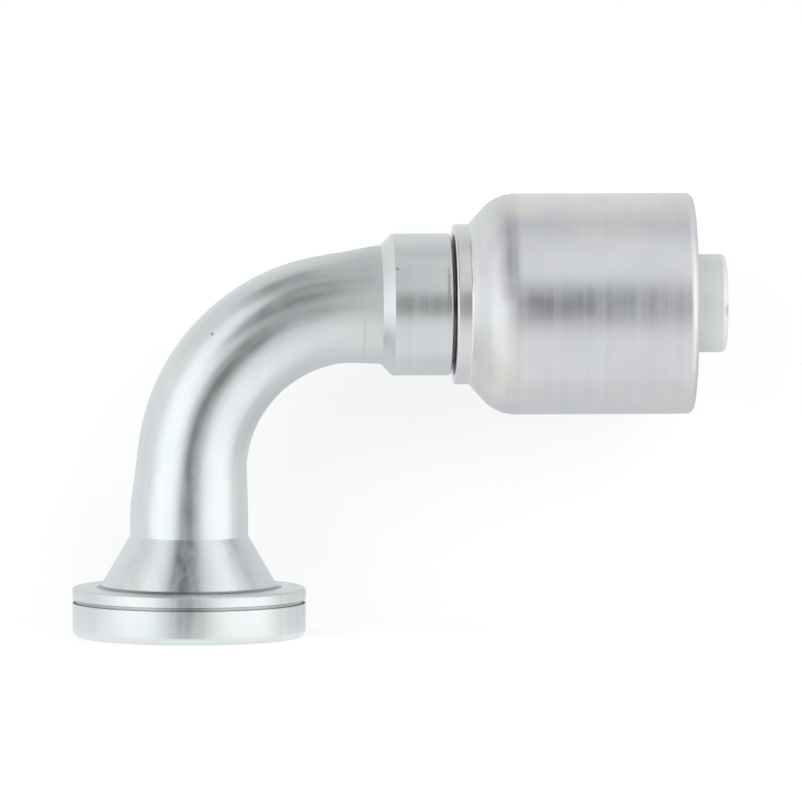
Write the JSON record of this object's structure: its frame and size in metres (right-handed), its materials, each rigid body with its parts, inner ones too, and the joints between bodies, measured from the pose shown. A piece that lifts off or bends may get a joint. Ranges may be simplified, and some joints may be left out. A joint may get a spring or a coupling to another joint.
{
  "type": "ninety degree flange hose fitting",
  "caption": "Hydraulic hose end with a heavy-series flange head, a bent steel tube and a barbed stem inside a domed crimp shell.",
  "frame": {"origin": "centre of the flange's sealing face, on the flange axis", "axes": "-Z is the outward normal of the sealing face, towards the port; +X runs along the hose axis, towards the hose; the bend lies in the XZ plane, the plane of symmetry"},
  "size_m": [0.1157, 0.0412, 0.0782],
  "materials": {
    "zinc_plate": "bright zinc plate over turned and bent steel, satin, with fine turning marks",
    "zinc_plate_shell": "bright zinc plate with faint blue, yellow and pink tints and fine scratches round the shell"
  },
  "bodies": {
    "root": {"flange_elbow": "zinc_plate", "braze_ring": "zinc_plate", "hose_stem": "zinc_plate", "crimp_shell": "zinc_plate_shell"}
  },
  "joints": []
}
